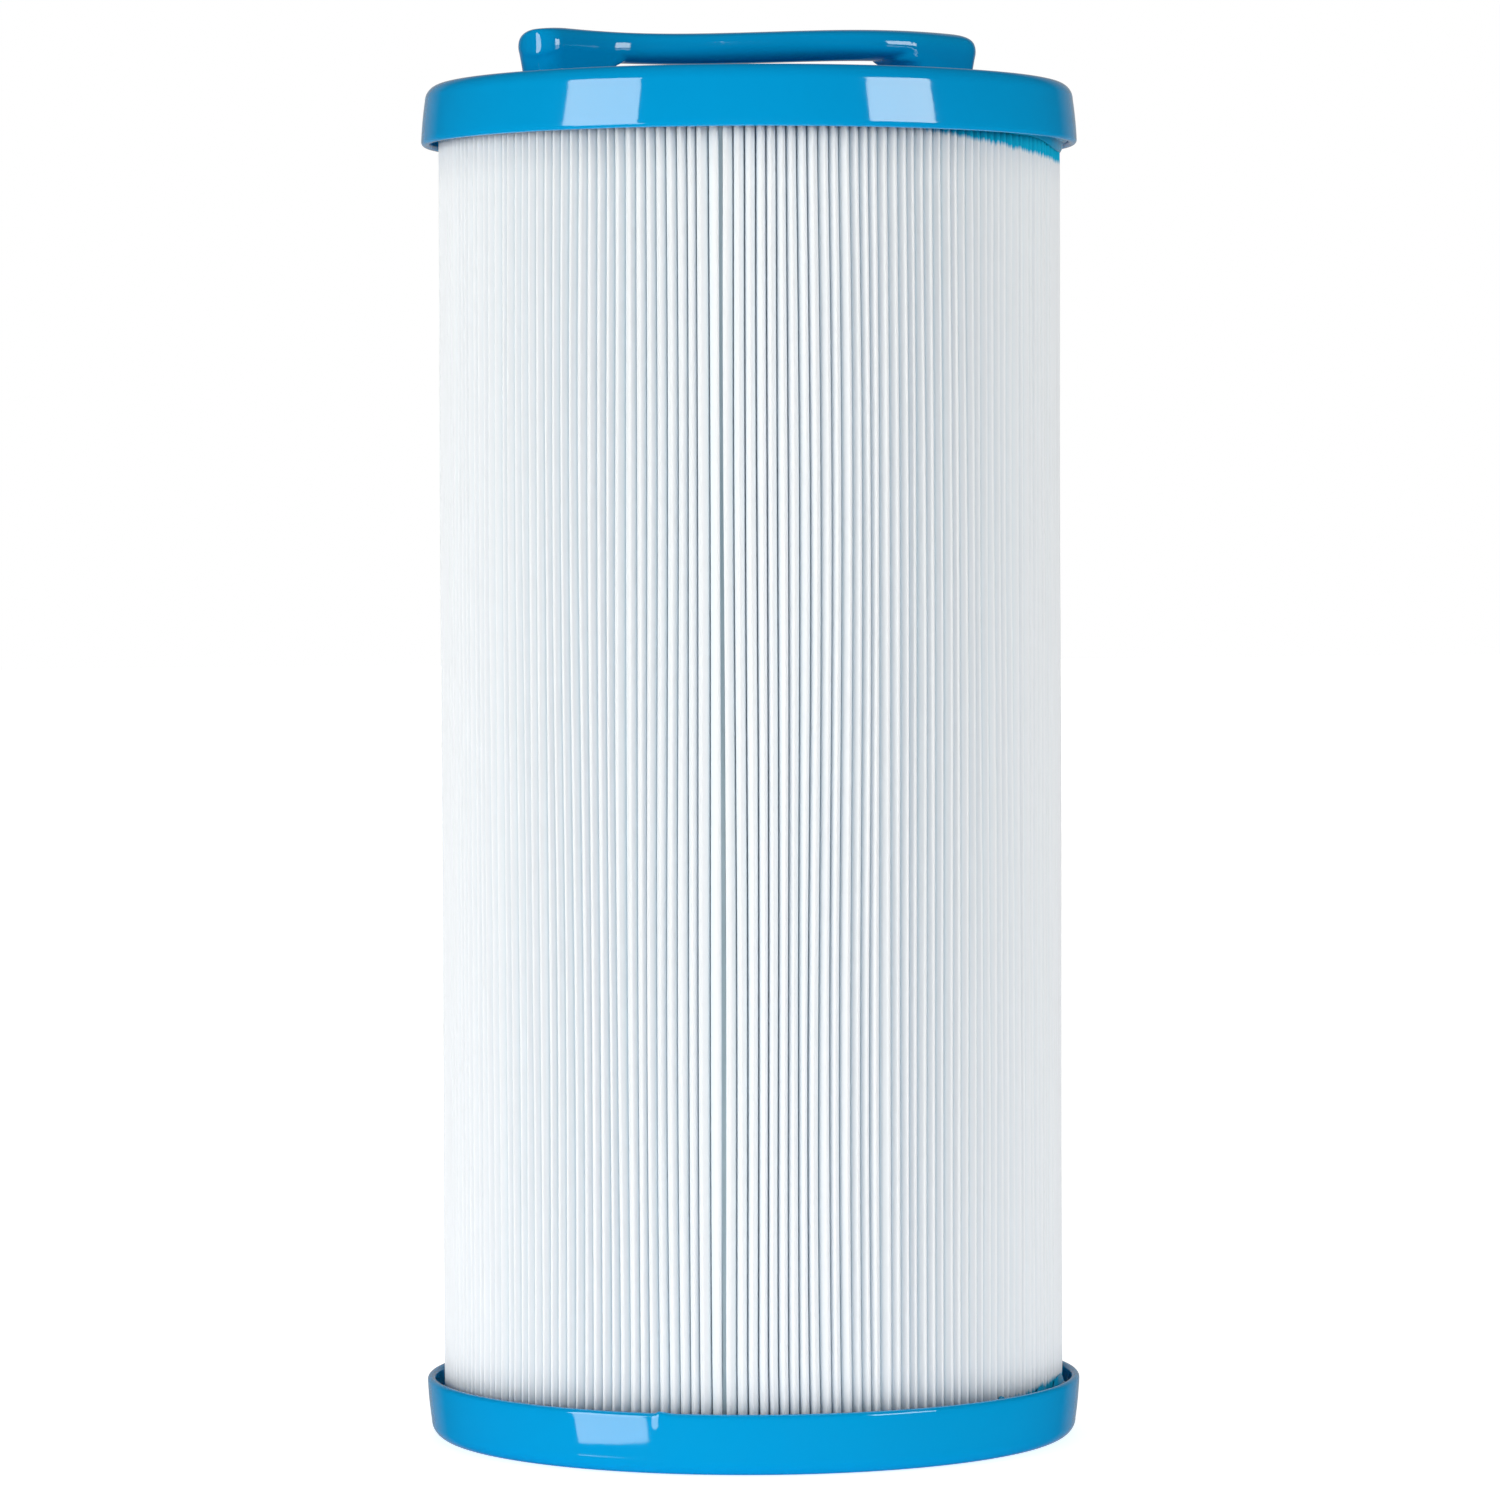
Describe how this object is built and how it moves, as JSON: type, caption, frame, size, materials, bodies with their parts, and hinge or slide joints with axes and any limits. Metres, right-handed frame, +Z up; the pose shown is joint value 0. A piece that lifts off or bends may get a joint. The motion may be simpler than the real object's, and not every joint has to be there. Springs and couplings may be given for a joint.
{
  "type": "filter cartridge",
  "caption": "Cylindrical pleated filter cartridge with blue moulded end caps, a lazy-S grip on top and an open socket below.",
  "frame": {"origin": "centre of the underside of the bottom cap, on the cartridge's axis", "axes": "+Z up the axis to the grip, +X along the grip"},
  "size_m": [0.1524, 0.1524, 0.3269],
  "materials": {
    "cap_plastic": "smooth glossy moulding",
    "potting": "cast, satin",
    "media": "spun-bond nonwoven, matt",
    "core_plastic": "satin moulding",
    "seal_rubber": "soft, matt"
  },
  "bodies": {
    "root": {"top_cap": "cap_plastic", "handle": "cap_plastic", "top_potting": "potting", "pleated_media": "media", "seam_strip": "media", "core_upper": "core_plastic", "core_middle": "core_plastic", "core_lower": "core_plastic", "bottom_potting": "potting", "bottom_cap": "cap_plastic", "seal_ring": "seal_rubber", "stop_ring": "core_plastic"}
  },
  "joints": []
}
